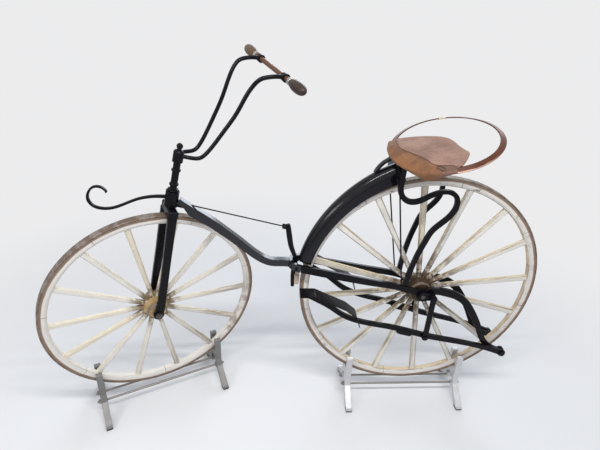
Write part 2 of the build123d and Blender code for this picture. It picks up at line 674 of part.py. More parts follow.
guard_low = GUARD_R - GUARD_SKIRT
with BuildPart() as guard_blank:
    add(guard_sweep(guard_low, GUARD_TO - GUARD_FROM))
    add(guard_sweep(guard_low, GUARD_TO - GUARD_FROM, GUARD_SHEET), mode=Mode.SUBTRACT)
guard_form = guard_sweep(guard_low - 35, 90)
with BuildPart() as mudguard:
    add(guard_blank.part.rotate(Axis(GUARD_AT, (0, -1, 0)), GUARD_FROM))
    with BuildSketch(side(2 * GUARD_HALF)):
        with Locations((GUARD_AT[0] + 36.3, GUARD_AT[2])):
            Circle(REAR_R + GUARD_CLEAR)
    extrude(amount=4 * GUARD_HALF, mode=Mode.SUBTRACT)
    add(backbone.part, mode=Mode.SUBTRACT)
save(mudguard.part, "mudguard")

# Saddle ring: a band sloping down outward, tilted nose down and toward the left
PITCH, ROLL = radians(RING_PITCH), radians(RING_ROLL)
ring_x = Vector(cos(PITCH), 0, -sin(PITCH))
ring_y = Vector(0, cos(ROLL), -sin(ROLL))
ring_z = ring_x.cross(ring_y).normalized()
ring_plane = Plane(origin=RING_AT, x_dir=ring_x, z_dir=ring_z)
with BuildPart() as ring:
    with BuildLine(ring_plane) as loop:
        EllipticalCenterArc((0, 0), RING_A, RING_B, start_angle=0, arc_size=360)
    with BuildSketch(Plane(origin=loop.line @ 0, x_dir=ring_x, z_dir=loop.line % 0)):
        Rectangle(RING_WIDE, RING_THICK, rotation=RING_SLOPE)
    sweep(path=loop.line)
save(ring.part, "saddle_ring")

# Curled saddle springs, standing on the fork blades, leaning out and bearing on the ring
SPRING_HEAD = [
    # forward of the axle, height over the rear tyre, depth of the bar
    (172, 115, 18), (172, 75, 18), (173, 34, 18), (173, -4, 19), (169, -34, 20), (153, -59, 20),
    (129, -72, 20), (91, -67, 19), (59, -48, 18), (24, -32, 17), (-13, -30, 17), (-41, -47, 18),
    (-52, -82, 19), (-38, -128, 20), (-8, -165, 20), (18, -197, 20),
]
SPRING_LEG = [
    # forward of the axle, height over the foot where the tyre is SPRING_DRAWN over it, depth of the bar
    (34, 231, 20), (48, 183, 20), (59, 135, 20), (68, 85, 20), (76, 0, 22),
]
spring_plane = Plane(origin=(0, SPRING_FOOT, REAR_Z + SPRING_BASE), x_dir=(1, 0, 0),
                     z_dir=(0, -cos(SPRING_LEAN), sin(SPRING_LEAN)))
spring_rise = REAR_R - SPRING_BASE
spring_line = [(x, spring_rise + z) for x, z, _ in SPRING_HEAD]
spring_line += [(x, z * spring_rise / SPRING_DRAWN) for x, z, _ in SPRING_LEG]
spring_depths = [depth for _, _, depth in SPRING_HEAD + SPRING_LEG]
spring_blank = band(spring_line, spring_depths, spring_plane, SPRING_THICK)
foot_cut = Plane(origin=(0, 0, REAR_Z + SPRING_BASE), x_dir=(1, 0, 0), z_dir=(0, 0, 1))
with BuildPart() as foot_trimmed:
    add(spring_blank)
    add(rear_fork.part, mode=Mode.SUBTRACT)
    split(bisect_by=foot_cut, keep=Keep.TOP)
springs = {}
for name, blank in (("left", foot_trimmed.part), ("right", foot_trimmed.part.mirror(Plane.XZ))):
    with BuildPart() as spring:
        add(blank)
        split(bisect_by=ring_plane.offset(-3), keep=Keep.BOTTOM)
        add(ring.part, mode=Mode.SUBTRACT)
    springs[name] = spring.part
    save(spring.part, f"saddle_spring_{name}")

# Thin stays propping the springs' front curls from the fork blades
stay = rod([(172, 80, REAR_TOP - 36), (92, 54, REAR_Z + 41)], 3)
with BuildPart() as stay_left:
    add(stay)
    add(rear_fork.part, mode=Mode.SUBTRACT)
    add(springs["left"], mode=Mode.SUBTRACT)
with BuildPart() as stays:
    add(stay_left.part)
    add(stay_left.part.mirror(Plane.XZ))
save(stays.part, "spring_stays")

# Bracket over the mudguard's end, joining the springs
BRACKET_LOW, BRACKET_TOP = REAR_TOP + 7, REAR_TOP + 61
with BuildPart() as saddle_bracket:
    with BuildSketch(Plane(origin=(163, 0, 0), x_dir=(0, 1, 0), z_dir=(1, 0, 0))) as arch:
        with BuildLine():
            Polyline((-84, BRACKET_LOW), (-84, BRACKET_LOW + 18), (-44, BRACKET_TOP), (44, BRACKET_TOP),
                     (84, BRACKET_LOW + 18), (84, BRACKET_LOW), close=True)
        make_face()
    extrude(amount=20)
    add(guard_form, mode=Mode.SUBTRACT)
    add(springs["left"], mode=Mode.SUBTRACT)
    add(springs["right"], mode=Mode.SUBTRACT)
save(saddle_bracket.part, "saddle_bracket")

# Leaf from the mudguard that laps under the ring's front
leaf_line = [(252, 5), (240, 29), (222, 49), (204, 62), (190, 76)]
leaf = band([(x, REAR_TOP + z) for x, z in leaf_line], [9, 8, 7, 7, 7], side(), 24)
with BuildPart() as front_leaf:
    add(leaf)
    add(ring.part, mode=Mode.SUBTRACT)
    add(guard_form, mode=Mode.SUBTRACT)
save(front_leaf.part, "saddle_front_leaf")

# Leather seat over the front of the ring, its apron hanging outside the band
SEAT_A = RING_A + RING_REACH + SEAT_LAP
SEAT_B = RING_B + RING_REACH + SEAT_LAP
with BuildPart() as apron:
    with BuildSketch(ring_plane.offset(-40)):
        Ellipse(SEAT_A, SEAT_B)
        Ellipse(SEAT_A - SEAT_THICK, SEAT_B - SEAT_THICK, mode=Mode.SUBTRACT)
        Polygon((0, 0), (250, -72), (250, 250), (133, 250), align=None, mode=Mode.INTERSECT)
    extrude(amount=40 + SEAT_OVER + SEAT_THICK)
    apron_hem = Plane(origin=ring_plane.origin + ring_z * 2, x_dir=ring_x,
                      z_dir=ring_z + ring_plane.y_dir * 0.145)
    split(bisect_by=apron_hem, keep=Keep.TOP)
with BuildPart() as seat:
    with BuildSketch(ring_plane.offset(SEAT_OVER)):
        with BuildLine():
            Spline((152, -87), (91, -72), (30, -48), (-21, -8), (-27, 35), (-37, 82), (-45, 103))
            Spline((-45, 103), (-31, 133), (-11, 157), (6, 175), (30, 198))
            Polyline((30, 198), (30, 260), (260, 260), (260, -40), (196, -62), (152, -87))
        make_face()
        Ellipse(SEAT_A, SEAT_B, mode=Mode.INTERSECT)
    extrude(amount=SEAT_THICK)
    add(apron.part)
    add(front_leaf.part, mode=Mode.SUBTRACT)
    add(springs["left"], mode=Mode.SUBTRACT)
    add(ring.part, mode=Mode.SUBTRACT)
save(seat.part, "saddle_leather")

# Leg rest: a thin iron scroll on the front of the head
rest_line = [(22.4, -24.7), (76.4, -24.7), (132.4, -36.7), (177.4, -55.7), (234.4, -75.7), (264.4, -76.7),
             (294.4, -65.7), (308.4, -42.7), (302.4, -11.7), (280.4, 9.3), (254.4, 7.3), (238.4, -12.7)]
rest_points = [(head_x + x, head_z + z) for x, z in rest_line]
rest_blank = band(rest_points, [12, 10, 9, 9, 9, 9, 9, 9, 8, 8, 7, 6], side(), 10)
with BuildPart() as leg_rest:
    add(rest_blank)
    add(head_clear.part, mode=Mode.SUBTRACT)
save(leg_rest.part, "leg_rest")


# Floor stands: two cast ends, two rods through them and rubber feet
def stand(center, heading, notch, u_half):
    """Ends, rods and feet of one stand, standing square to the floor"""
    h = Vector(cos(heading), sin(heading), 0)
    left = Vector(-sin(heading), cos(heading), 0)
    c = Vector(*center, 0)
    top = notch + HORN
    half = [(SLOT_HALF, notch), (SLOT_HALF, top - 6), (SLOT_HALF + 3, top), (SLOT_HALF + 15, top),
            (SLOT_HALF + 19, top - 6), (SLOT_HALF + 19, 112), (52, 78), (STAND_WIDE - 9, FOOT + 9),
            (STAND_WIDE, FOOT + 7), (STAND_WIDE, FOOT), (STAND_WIDE - 31, FOOT), (40, 61), (27, 96), (0, 112)]
    outline = half + [(-v, z) for v, z in half[-2::-1]]
    planes = [Plane(origin=c + h * (s * u_half - STAND_THICK / 2), x_dir=left, z_dir=h) for s in (-1, 1)]
    with BuildPart() as rods:
        start = Plane(origin=c - h * (u_half + 28), x_dir=left, z_dir=h)
        with BuildSketch(start):
            with Locations((-ROD_V, ROD_H), (ROD_V, ROD_H)):
                Circle(ROD_R)
        extrude(amount=2 * u_half + 56)
        for offset in (-u_half - STAND_THICK / 2 - 9, u_half + STAND_THICK / 2):
            with BuildSketch(Plane(origin=c + h * offset, x_dir=left, z_dir=h)):
                with Locations((-ROD_V, ROD_H), (ROD_V, ROD_H)):
                    RegularPolygon(10, 6)
            extrude(amount=9)
    with BuildPart() as ends:
        for plane in planes:
            with BuildSketch(plane):
                with BuildLine():
                    Polyline(*outline, close=True)
                make_face()
                with Locations((-ROD_V - 2, ROD_H), (ROD_V + 2, ROD_H)):
                    Circle(14)
            extrude(amount=STAND_THICK)
        add(rods.part, mode=Mode.SUBTRACT)
    with BuildPart() as feet:
        for plane in planes:
            with BuildSketch(plane):
                with Locations((1 - STAND_WIDE + FOOT_WIDE / 2, FOOT / 2),
                               (STAND_WIDE - 1 - FOOT_WIDE / 2, FOOT / 2)):
                    Rectangle(FOOT_WIDE, FOOT)
            extrude(amount=STAND_THICK)
    return ends.part, rods.part, feet.part


turn = radians(STEER)
AXLE_DIR = (-cos(RAKE_RAD) * sin(turn), cos(turn), -sin(RAKE_RAD) * sin(turn))
HEADING = atan2(-AXLE_DIR[0], AXLE_DIR[1])
LEAN = atan2(-AXLE_DIR[2], hypot(AXLE_DIR[0], AXLE_DIR[1]))
SHIFT = 28.6
stand_at = (WHEELBASE + SHIFT * sin(HEADING), -SHIFT * cos(HEADING))
INNER = STAND_HALF - STAND_THICK / 2
rear_notch = REAR_Z - sqrt(REAR_R ** 2 - INNER ** 2) - 0.5
drop = sqrt(FRONT_R ** 2 - INNER ** 2)
front_notch = FRONT_Z - drop * cos(LEAN) - TYRE_HALF * sin(LEAN) - 0.5
for name, center, heading, notch in (("rear", (0, 0), 0.0, rear_notch),
                                     ("front", stand_at, HEADING, front_notch)):
    ends, rods, feet = stand(center, heading, notch, STAND_HALF)
    save(ends, f"{name}_stand_ends")
    save(rods, f"{name}_stand_rods")
    save(feet, f"{name}_stand_feet")
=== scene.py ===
"""Treadle velocipede with wooden wheels on two floor stands, finished over its CAD frame."""
import json
from math import cos, pi, radians, sin

import bmesh
import bpy
from mathutils import Matrix, Vector, noise


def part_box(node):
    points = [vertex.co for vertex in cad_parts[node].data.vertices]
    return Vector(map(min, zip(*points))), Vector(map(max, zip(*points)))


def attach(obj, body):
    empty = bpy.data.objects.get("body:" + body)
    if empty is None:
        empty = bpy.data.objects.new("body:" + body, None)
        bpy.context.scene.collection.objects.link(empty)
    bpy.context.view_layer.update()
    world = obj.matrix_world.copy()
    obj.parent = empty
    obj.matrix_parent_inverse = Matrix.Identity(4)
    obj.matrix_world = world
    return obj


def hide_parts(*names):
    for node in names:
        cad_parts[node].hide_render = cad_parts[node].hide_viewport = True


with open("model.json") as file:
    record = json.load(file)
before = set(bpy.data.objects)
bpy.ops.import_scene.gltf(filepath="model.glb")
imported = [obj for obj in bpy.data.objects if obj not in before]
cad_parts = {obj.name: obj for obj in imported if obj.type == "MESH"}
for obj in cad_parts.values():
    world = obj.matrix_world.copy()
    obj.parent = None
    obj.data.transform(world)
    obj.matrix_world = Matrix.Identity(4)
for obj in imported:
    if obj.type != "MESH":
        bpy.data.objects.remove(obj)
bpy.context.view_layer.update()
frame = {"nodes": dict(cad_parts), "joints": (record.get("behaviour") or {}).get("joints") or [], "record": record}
NODES = frame["nodes"]
JOINTS = {joint["name"]: joint for joint in frame["joints"]}

# Camera of the photograph, in metres and degrees
CAMERA_AT = Vector((0.6623, 1.5515, 1.6986))
CAMERA_YAW = radians(-5.201)
CAMERA_PITCH = radians(27.336)
CAMERA_ROLL = radians(3.257)
CAMERA_LENS, SENSOR_WIDTH = 26.95, 36

# Light of the sky, colour of the backdrop, and the floor, which fades into it between two distances
SKY, SKY_STRENGTH = (0.80, 0.84, 0.92, 1), 0.56
PALE = (0.84, 0.84, 0.85, 1)
FLOOR_MIDDLE, FLOOR_HALF, FLOOR_GREY = Vector((0.5, 0, 0)), 12, (0.80, 0.80, 0.80)
FADE_FROM, FADE_TO = 0.9, 2.6

# Lamps: name, place, length, depth, power in watts and colour, all aimed at one point
LAMPS = (
    ("key", (0.45, 1.25, 2.9), 2.4, 0.13, 48, (1.0, 1.0, 1.0)),
    ("fill", (2.6, 1.4, 1.8), 1.2, 0.5, 14, (1.0, 1.0, 1.0)),
    ("rim", (-1.2, -2.0, 2.4), 1.5, 1.5, 8, (1.0, 1.0, 1.0)),
    ("window", (-1.0, -5.0, 3.0), 3.2, 1.7, 85, (0.84, 0.91, 1.0)),
)
LAMPS_AIM = Vector((0.5, 0, 0.6))

# Wheels: place, the front one's turn at rest, spokes with the first one's angle, and the state of
# the paint. The side colours are painted shade on the faces of spokes and felloes that don't look
# along the axle, and another number sets the painted shade along their edges. The lower rear of
# the wheel is painted darker by a given share, grease_to is how far from the axle grease reaches,
# and bare_from the level of the wear pattern over which the rim's wood is bare
STEERING_UP = Vector(JOINTS["steering"]["axis"]).normalized()
REAR_CENTER = Vector(JOINTS["rear_wheel_spin"]["pos_m"])
REAR_R = 0.508
TYRE_THICK = 0.006
WHEELS = {
    "rear": {
        "center": REAR_CENTER,
        "turn": Matrix.Identity(3),
        "radius": REAR_R,
        "spokes": 16,
        "first_spoke": radians(-51.39),
        "spoke_side_shade": (0.66, 0.53, 0.33),
        "felloe_side_shade": (0.62, 0.50, 0.34),
        "shaded_edges": 0.75,
        "lower_rear_dark": 0.25,
        "grease_to": 0.32,
        "grease": (0.10, 0.055, 0.025),
        "felloes": 8,
        "bare_from": 0.60,
        "hub_wood": ((0.012, 0.008, 0.006), (0.085, 0.046, 0.022)),
        "hub_paint": 0.08,
    },
    "front": {
        "center": Vector(JOINTS["front_wheel_spin"]["pos_m"]),
        "turn": Matrix.Rotation(radians(24.8), 3, STEERING_UP),
        "radius": 0.432,
        "spokes": 14,
        "first_spoke": radians(-73.58),
        "spoke_side_shade": (0.84, 0.77, 0.61),
        "felloe_side_shade": (0.78, 0.74, 0.66),
        "shaded_edges": 0.25,
        "lower_rear_dark": 0.75,
        "grease_to": 0.17,
        "grease": (0.20, 0.135, 0.070),
        "felloes": 7,
        "bare_from": 0.74,
        "hub_wood": ((0.26, 0.16, 0.065), (0.52, 0.36, 0.17)),
        "hub_paint": 1.0,
    },
}

# Ways towards which spokes and rims are painted lighter, forward and up; the other way they are painted darker
SPOKES_LIGHTER_WAY, RIM_LIGHTER_WAY = Vector((0.8, 0, 0.6)), Vector((0.9, 0, 0.436))

# Colours of paint, wood and iron, in pairs from dark to light where a pattern goes between them
BLACK_PAINT, BARE_IRON = ((0.003, 0.003, 0.005), (0.007, 0.006, 0.008)), (0.075, 0.045, 0.030)
LACQUER_TINT = (0.86, 0.90, 1.0)
SPOKE_CREAM, OLD_CREAM = ((0.76, 0.71, 0.62), (0.90, 0.87, 0.81)), (0.76, 0.66, 0.47)
# Streaks of paint, and the painted shade along the edges of spokes and felloes
PAINT_STREAK, EDGE_SHADE = (0.62, 0.48, 0.28), (0.16, 0.10, 0.055)
RIM_WHITE, RIM_WOOD = ((0.66, 0.60, 0.53), (0.88, 0.85, 0.81)), (0.25, 0.165, 0.11)
FELLOE_JOINT = (0.10, 0.07, 0.045)
HUB_CREAM, HUB_DIRT = (0.80, 0.72, 0.58), (0.10, 0.065, 0.04)
RUST, TYRE_GREY = ((0.10, 0.066, 0.048), (0.21, 0.155, 0.12)), (0.25, 0.21, 0.18)
# The ring's bright second colour is a painted highlight for its outer edge
RING_RED, RING_GLINT = ((0.040, 0.011, 0.005), (0.140, 0.040, 0.016)), (0.46, 0.28, 0.21)
DARK_STEEL = ((0.05, 0.045, 0.04), (0.15, 0.13, 0.12))

# Saddle ring: centre, half length and width, section, and its own axes
RING_AT = Vector((0.005, 0, 1.240))
RING_A, RING_B = 0.195, 0.179
RING_WIDE, RING_THICK, RING_SLOPE = 0.022, 0.0045, radians(30)
RING_PITCH, RING_ROLL = radians(15.2), radians(12.7)
RING_X = Vector((cos(RING_PITCH), 0, -sin(RING_PITCH)))
RING_Z = RING_X.cross(Vector((0, cos(RING_ROLL), -sin(RING_ROLL)))).normalized()
RING_Y = RING_Z.cross(RING_X)

# Leather seat, in millimetres along, across and over the ring, from its far side round to its near side
SEAT_ROWS = (
    # rear edge, dark line, over the rim, hem
    ((152, -87, 10), (164, -78, 13), (190, -86, 6), (192, -86, -5)),
    ((108, -75, 12), (168, -44, 17), (206, -46, 6), (206, -48, -6)),
    ((65, -62, 12), (167, -10, 18), (210, -8, 6), (210, -10, -6)),
    ((29, -46, 12), (157, 14, 18), (209, 25, 6), (208, 25, -4)),
    ((3, -29, 12), (145, 33, 18), (202, 56, 6), (201, 56, -3)),
    ((-16, -7, 12), (133, 53, 18), (191, 86, 6), (189, 86, -4)),
    ((-25, 20, 12), (120, 72, 18), (174, 114, 6), (171, 116, -8)),
    ((-29, 47, 12), (108, 95, 18), (154, 141, 5), (150, 144, -16)),
    ((-36, 78, 12), (99, 117, 18), (136, 159, 4), (134, 162, -23)),
    ((-45, 103, 12), (94, 134, 17), (115, 171, 4), (113, 175, -22)),
    ((-39, 120, 12), (80, 146, 16), (93, 180, 5), (91, 184, -14)),
    ((-27, 138, 12), (64, 153, 16), (69, 187, 6), (68, 190, -5)),
    ((-11, 158, 12), (44, 160, 15), (43, 192, 6), (43, 194, 0)),
    ((6, 175, 11), (26, 174, 13), (28, 192, 7), (28, 194, 3)),
)
SEAT_CROWN, SHOULDER_AT, SHOULDER_DROP = 15, 0.62, 3

# Steps from each of the seat's points to the next, and the place of the dark line among them
ACROSS_STEPS, ALONG_STEPS = 4, 5
SEAT_LINE = 2 * ACROSS_STEPS

# The seat's folds, with their length and width in millimetres, their height and its share on the apron
BROAD_FOLD, FINE_FOLD, FOLD_HEIGHT, APRON_FOLDS = (38, 22), (15, 11), 1.6, 0.4

# The seat's thickness, and the radius of the dark cord along the top leather's edge, painted shadow under that
# edge, and how far that stands proud, in metres
SEAT_THICK, SHADOW_CORD_R, SHADOW_CORD_RISE = 0.0045, 0.0011, 0.0004

# Dark lace that comes up through the leather at its near corner, in the same millimetres
SEAT_LACE = (
    (86, 146, 16), (80, 152, 18), (72, 160, 17.5), (65, 168, 16), (66, 177, 13), (75, 177, 13.5),
    (82, 168, 15.5), (88, 158, 16),
)
LACE_R = 0.0014

# Strap on the ring, from one angle to another in degrees, and its thickness in millimetres
STRAP_FROM, STRAP_TO, STRAP_THICK = 252, 260, 1.6

# Brake in the yoke's middle plane, in millimetres forward and up from the yoke's middle
YOKE_ANGLE, YOKE_GAP = radians(12.66), 0.0168
YOKE_AT = REAR_CENTER + (REAR_R + YOKE_GAP) * Vector((cos(YOKE_ANGLE), 0, sin(YOKE_ANGLE)))
BRAKE_HALF, CLEVIS_HALF, CLEVIS_GAP = 6, 1.75, 0.25
BRAKE_LINE = (
    # place, and depth of the bar
    (27, -112, 14), (28, -60, 17), (24.5, -20, 17), (20, 0, 18), (19.5, 24, 15), (30, 52, 17),
    (41, 85, 20), (49, 130, 22), (55, 168, 20), (57, 178, 14),
)
CLEVIS_LINE = ((50, 163.5, 13), (56, 165, 13), (78, 170, 13))
ROD_LINE, ROD_R = ((76, 169.6), (440, 256)), 0.0025
BRAKE_PINS = (
    # place, reach to each side and radius
    ("brake_pin", (20, 0), 54, 6),
    ("brake_rod_pin", (56, 165), 12, 3),
)
SHOE_FRONT, SHOE_LOW, SHOE_TOP, SHOE_HALF, SHOE_CLEAR, SHOE_STEPS = 21, -95, -51, 15, 0.008, 8

# Collars at the grips' inner ends, from the middle of the bar, and how far they lap over the grips
GRIP_FROM, FERRULE_LONG, FERRULE_R, FERRULE_LAP = 0.160, 0.015, 0.0135, 0.001


def make_camera():
    """Camera at the photograph's place, with its small roll"""
    level = cos(CAMERA_PITCH)
    forward = Vector((sin(CAMERA_YAW) * level, -cos(CAMERA_YAW) * level, -sin(CAMERA_PITCH)))
    right = forward.cross(Vector((0, 0, 1))).normalized()
    up = right.cross(forward)
    rolled_right = cos(CAMERA_ROLL) * right + sin(CAMERA_ROLL) * up
    rolled_up = cos(CAMERA_ROLL) * up - sin(CAMERA_ROLL) * right
    turn = Matrix((rolled_right, rolled_up, -forward)).transposed()
    data = bpy.data.cameras.new("camera")
    data.lens = CAMERA_LENS
    data.sensor_width = SENSOR_WIDTH
    camera = bpy.data.objects.new("camera", data)
    camera.matrix_world = Matrix.Translation(CAMERA_AT) @ turn.to_4x4()
    bpy.context.scene.collection.objects.link(camera)
    bpy.context.scene.camera = camera


def make_world():
    """Soft sky for the light, and a plain pale backdrop where the world itself shows"""
    scene = bpy.context.scene
    scene.view_settings.view_transform = "Standard"
    world = bpy.data.worlds.new("studio")
    world.use_nodes = True
    tree = world.node_tree
    sky = tree.nodes["Background"]
    sky.inputs["Color"].default_value = SKY
    sky.inputs["Strength"].default_value = SKY_STRENGTH
    backdrop = tree.nodes.new("ShaderNodeBackground")
    backdrop.inputs["Color"].default_value = PALE
    rays = tree.nodes.new("ShaderNodeLightPath")
    seen = tree.nodes.new("ShaderNodeMath")
    seen.operation = "MAXIMUM"
    mirrored = tree.nodes.new("ShaderNodeMath")
    mirrored.operation = "MAXIMUM"
    tree.links.new(rays.outputs["Is Glossy Ray"], mirrored.inputs[0])
    tree.links.new(rays.outputs["Is Transmission Ray"], mirrored.inputs[1])
    tree.links.new(rays.outputs["Is Camera Ray"], seen.inputs[0])
    tree.links.new(mirrored.outputs["Value"], seen.inputs[1])
    blend = tree.nodes.new("ShaderNodeMixShader")
    tree.links.new(seen.outputs["Value"], blend.inputs["Fac"])
    tree.links.new(sky.outputs["Background"], blend.inputs[1])
    tree.links.new(backdrop.outputs["Background"], blend.inputs[2])
    tree.links.new(blend.outputs["Shader"], tree.nodes["World Output"].inputs["Surface"])
    scene.world = world


def make_lights():
    """A long lamp above the near side, softer ones around and a bluish window far behind"""
    for name, place, length, depth, power, colour in LAMPS:
        data = bpy.data.lights.new(name, "AREA")
        data.shape = "RECTANGLE"
        data.energy = power
        data.size = length
        data.size_y = depth
        data.color = colour
        lamp = bpy.data.objects.new(name, data)
        lamp.location = place
        lamp.rotation_euler = (LAMPS_AIM - Vector(place)).to_track_quat("-Z", "Y").to_euler()
        bpy.context.scene.collection.objects.link(lamp)


class Shader:
    """A Principled material and the few nodes its look is built from"""

    # Sockets of the mix node that carry colours
    FIRST, SECOND, BLENDED = 6, 7, 2

    def __init__(self, name):
        self.material = bpy.data.materials.new(name)
        self.material.use_nodes = True
        self.tree = self.material.node_tree
        self.surface = self.tree.nodes["Principled BSDF"]
        source = self.tree.nodes.new("ShaderNodeTexCoord")
        self.place = source.outputs["Object"]
        self.facing = source.outputs["Normal"]

    def plug(self, socket, value):
        """Link a pattern to a socket, or set a plain value on it"""
        if isinstance(value, (int, float)):
            socket.default_value = value
        elif isinstance(value, (tuple, Vector)):
            socket.default_value = (*value, 1) if len(socket.default_value) == 4 else tuple(value)
        else:
            self.tree.links.new(value, socket)

    def feed(self, name, value):
        """Plug a value or pattern into the surface"""
        self.plug(self.surface.inputs[name], value)

    def math(self, operation, *values):
        """One number worked out from others"""
        node = self.tree.nodes.new("ShaderNodeMath")
        node.operation = operation
        for socket, value in zip(node.inputs, values):
            self.plug(socket, value)
        return node.outputs["Value"]

    def plus(self, first, second):
        """Sum of two numbers"""
        return self.math("ADD", first, second)

    def minus(self, first, second):
        """First number less the second"""
        return self.math("SUBTRACT", first, second)

    def times(self, *values):
        """Product of numbers"""
        product = values[0]
        for value in values[1:]:
            product = self.math("MULTIPLY", product, value)
        return product

    def most(self, first, second):
        """Larger of two numbers"""
        return self.math("MAXIMUM", first, second)

    def length(self, x, y):
        """Distance that two places along square axes make"""
        return self.math("SQRT", self.plus(self.times(x, x), self.times(y, y)))

    def rise(self, value, low, high):
        """0 below a value, 1 above another and smooth between"""
        node = self.tree.nodes.new("ShaderNodeMapRange")
        node.interpolation_type = "SMOOTHSTEP"
        node.inputs["From Min"].default_value = low
        node.inputs["From Max"].default_value = high
        self.plug(node.inputs["Value"], value)
        return node.outputs["Result"]

    def fall(self, value, low, high):
        """1 below a value, 0 above another and smooth between"""
        return self.minus(1.0, self.rise(value, low, high))

    def dot(self, vector, direction):
        """Length of a vector along a fixed direction"""
        node = self.tree.nodes.new("ShaderNodeVectorMath")
        node.operation = "DOT_PRODUCT"
        self.plug(node.inputs[0], vector)
        self.plug(node.inputs[1], direction)
        return node.outputs["Value"]

    def local(self, origin, *axes):
        """Place measured from an origin along some axes"""
        node = self.tree.nodes.new("ShaderNodeVectorMath")
        node.operation = "SUBTRACT"
        self.plug(node.inputs[0], self.place)
        self.plug(node.inputs[1], origin)
        return [self.dot(node.outputs["Vector"], axis) for axis in axes]

    def around(self, wheel):
        """Distance from a wheel's axle, angle around it and place along it"""
        axes = [wheel["turn"] @ Vector(axis) for axis in ((1, 0, 0), (0, 0, 1), (0, 1, 0))]
        x, z, along = self.local(wheel["center"], *axes)
        return self.length(x, z), self.math("ARCTAN2", z, x), along

    def stretched(self, scale):
        """Object coordinates scaled along each axis"""
        node = self.tree.nodes.new("ShaderNodeMapping")
        node.inputs["Scale"].default_value = scale
        self.plug(node.inputs["Vector"], self.place)
        return node.outputs["Vector"]

    def noise(self, scale, detail, roughness=0.55, place=None):
        """Cloudy pattern with the given number of features per metre"""
        node = self.tree.nodes.new("ShaderNodeTexNoise")
        node.inputs["Scale"].default_value = scale
        node.inputs["Detail"].default_value = detail
        node.inputs["Roughness"].default_value = roughness
        self.plug(node.inputs["Vector"], place or self.place)
        return node.outputs["Fac"]

    def grain(self, place, scales, detail, roughness):
        """Wood grain, with its own scale away from a wheel's axle, around it and along it"""
        node = self.tree.nodes.new("ShaderNodeCombineXYZ")
        for socket, value, scale in zip(node.inputs, place, scales):
            self.plug(socket, self.times(value, scale))
        return self.noise(1.0, detail, roughness, node.outputs["Vector"])

    def ramp(self, value, low, high):
        """Straight ramp over a pattern; each end is a place and the number there"""
        node = self.tree.nodes.new("ShaderNodeValToRGB")
        for element, (where, number) in zip(node.color_ramp.elements, (low, high)):
            element.position = where
            element.color = (number, number, number, 1)
        self.plug(node.inputs["Fac"], value)
        return node.outputs["Color"]

    def mix(self, factor, first, second):
        """Blend of two colours by a pattern"""
        node = self.tree.nodes.new("ShaderNodeMix")
        node.data_type = "RGBA"
        self.plug(node.inputs["Factor"], factor)
        self.plug(node.inputs[self.FIRST], first)
        self.plug(node.inputs[self.SECOND], second)
        return node.outputs[self.BLENDED]

    def relief(self, height, strength, distance, edge=0.0):
        """Surface relief from a pattern, over edges rounded by a radius"""
        node = self.tree.nodes.new("ShaderNodeBump")
        node.inputs["Strength"].default_value = strength
        node.inputs["Distance"].default_value = distance
        self.plug(node.inputs["Height"], height)
        if edge:
            rounded = self.tree.nodes.new("ShaderNodeBevel")
            rounded.samples = 4
            rounded.inputs["Radius"].default_value = edge
            self.plug(node.inputs["Normal"], rounded.outputs["Normal"])
        self.feed("Normal", node.outputs["Normal"])


def black_iron(name, edge, coat=0.08):
    """Glossy black paint on forged iron, thin and brown in places, with rounded edges"""
    s = Shader(name)
    clouds = s.noise(9, 6)
    specks = s.noise(170, 5, 0.7)
    worn = s.times(s.rise(specks, 0.60, 0.74), s.rise(clouds, 0.45, 0.62))
    s.feed("Base Color", s.mix(worn, s.mix(clouds, *BLACK_PAINT), BARE_IRON))
    s.feed("Roughness", s.ramp(clouds, (0.35, 0.20), (0.65, 0.34)))
    s.feed("Specular IOR Level", 0.10)
    s.feed("Coat Weight", coat)
    s.feed("Coat Roughness", 0.12)
    s.feed("Coat Tint", LACQUER_TINT)
    s.relief(s.noise(34, 3), 0.06, 0.0010, edge)
    return s.material


def paint_with_shade(s, wheel, paint, side, grain):
    """Paint on the faces that look along the axle, painted shade in another colour on the others, painted shade
    along the edges
    """
    flat = s.math("ABSOLUTE", s.dot(s.facing, wheel["turn"] @ Vector((0, 1, 0))))
    # Painted shade: faces that don't look along the axle take the side colour
    colour = s.mix(s.rise(flat, 0.45, 0.80), side, paint)
    streaks = s.rise(grain, 0.56, 0.76)
    colour = s.mix(s.times(streaks, 0.30), colour, PAINT_STREAK)
    # Painted shade: a dark outline along the rounded edges, patchy with the grain
    edge = s.times(s.rise(flat, 0.30, 0.55), s.fall(flat, 0.80, 0.97))
    edge = s.times(edge, s.times(s.rise(grain, 0.38, 0.60), wheel["shaded_edges"]))
    return s.mix(edge, colour, EDGE_SHADE)


